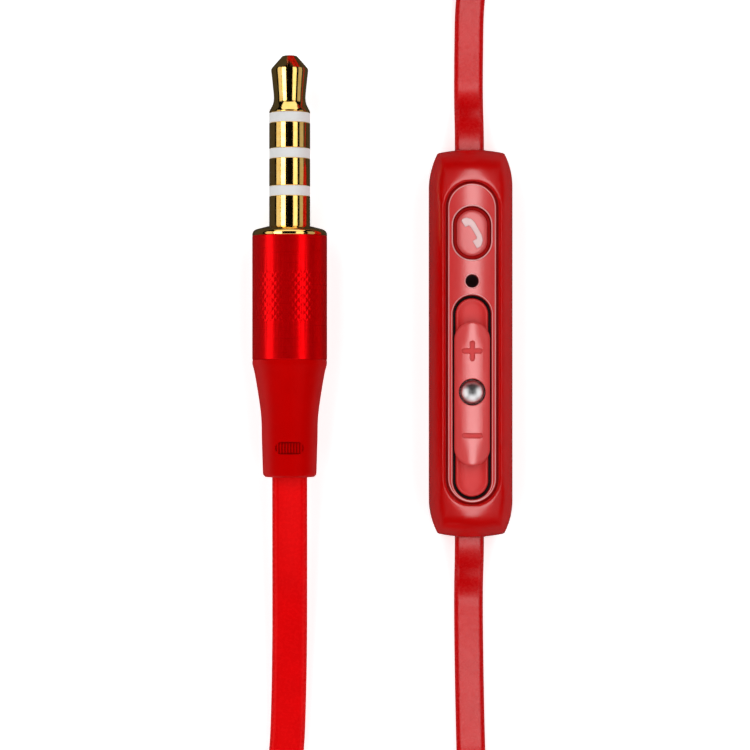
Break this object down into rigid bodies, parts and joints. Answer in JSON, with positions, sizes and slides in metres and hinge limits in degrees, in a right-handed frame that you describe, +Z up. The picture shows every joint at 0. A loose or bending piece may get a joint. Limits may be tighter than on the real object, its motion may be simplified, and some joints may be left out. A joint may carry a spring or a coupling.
{
  "type": "wired earphones",
  "caption": "Wired in-ear earphones: flat cords, a 3.5 mm plug, an in-line control with call button and volume slider, a splitter and two earbuds.",
  "frame": {"origin": "centre of the in-line control's flat back face, on the table that the earphones lie on", "axes": "+Z up from the table, out of the control's face; +Y along the control and the plug, towards the plug's tip and the right earbud; +X to the control's right"},
  "size_m": [0.028, 0.1813, 0.0202],
  "materials": {
    "housing_red": "glossy moulded ABS",
    "panel_red": "satin-gloss moulded plastic",
    "slider_red": "satin-gloss moulded plastic",
    "bed_red": "glossy moulded plastic",
    "button_red": "satin-gloss moulded plastic",
    "chrome_ball": "mirror polished",
    "contact_gold": "gold plated, polished",
    "insulator_white": "moulded",
    "anodised_red": "satin anodised, knurled band",
    "boot_red": "soft smooth rubber",
    "main_cord_red": "satin flat cord jacket",
    "branch_cord_red": "satin flat cord jacket",
    "splitter_red": "glossy moulded plastic",
    "board_green": "solder mask",
    "steel": "stamped",
    "copper": "tinned copper",
    "black_plastic": "moulded",
    "grey_rubber": "moulded",
    "mesh_steel": "woven",
    "tie_black": "woven hook-and-loop strap",
    "bud_red": "glossy moulded ABS",
    "trim_metal": "turned, satin",
    "cap_black": "glossy moulded plastic",
    "tip_silicone": "soft silicone",
    "diaphragm_film": "thin formed film"
  },
  "bodies": {
    "earphones": {"control_back_shell": "housing_red", "control_front_shell": "housing_red", "face_panel": "panel_red", "slider_bed": "bed_red", "circuit_board": "board_green", "switch_body": "steel", "microphone": "steel", "microphone_gasket": "grey_rubber", "microphone_mesh": "black_plastic", "slide_track": "black_plastic", "upper_cord_anchor": "branch_cord_red", "lower_cord_anchor": "branch_cord_red", "lead_wires": "copper", "plug_tip_contact": "contact_gold", "plug_ring_contact_1": "contact_gold", "plug_ring_contact_2": "contact_gold", "plug_sleeve_contact": "contact_gold", "plug_insulators": "insulator_white", "plug_collar": "contact_gold", "plug_inner_mould": "black_plastic", "plug_barrel": "anodised_red", "plug_boot": "boot_red", "plug_wires": "copper", "splitter_front": "splitter_red", "splitter_back": "splitter_red", "splitter_bead": "branch_cord_red", "main_cord": "main_cord_red", "main_cord_hank": "main_cord_red", "main_cord_tail": "main_cord_red", "lower_branch_cord": "branch_cord_red", "lower_branch_hank": "branch_cord_red", "lower_branch_tail": "branch_cord_red", "left_branch_cord": "branch_cord_red", "left_branch_hank": "branch_cord_red", "left_branch_tail": "branch_cord_red", "upper_branch_cord": "branch_cord_red", "upper_branch_coil": "branch_cord_red", "upper_branch_tail": "branch_cord_red", "cord_tie": "tie_black", "trim_rings": "trim_metal", "end_caps": "cap_black", "nozzle_meshes": "mesh_steel", "driver_frames": "black_plastic", "driver_magnets": "steel", "driver_diaphragms": "diaphragm_film", "left_rear_shell": "bud_red", "left_nozzle_shell": "bud_red", "left_cord_boot": "boot_red", "right_rear_shell": "bud_red", "right_nozzle_shell": "bud_red", "right_cord_boot": "boot_red"},
    "volume_slider": {"volume_slider": "slider_red", "slider_ball": "chrome_ball", "slide_wiper": "black_plastic"},
    "call_button": {"call_button": "button_red", "switch_plunger": "black_plastic"},
    "left_tip": {"left_ear_tip": "tip_silicone"},
    "right_tip": {"right_ear_tip": "tip_silicone"}
  },
  "joints": [
    {"name": "volume_slide", "type": "slide", "parent": "earphones", "child": "volume_slider", "axis": [0, 1, 0], "range_m": [-0.0026, 0.002]},
    {"name": "call_button_press", "type": "slide", "parent": "earphones", "child": "call_button", "axis": [0, 0, -1], "range_m": [0, 0.0003], "stiffness_N_per_m": 2000},
    {"name": "left_tip_pull", "type": "slide", "parent": "earphones", "child": "left_tip", "axis": [1, 0, 0], "range_m": [0, 0.02]},
    {"name": "right_tip_pull", "type": "slide", "parent": "earphones", "child": "right_tip", "axis": [-1, 0, 0], "range_m": [0, 0.02]}
  ]
}
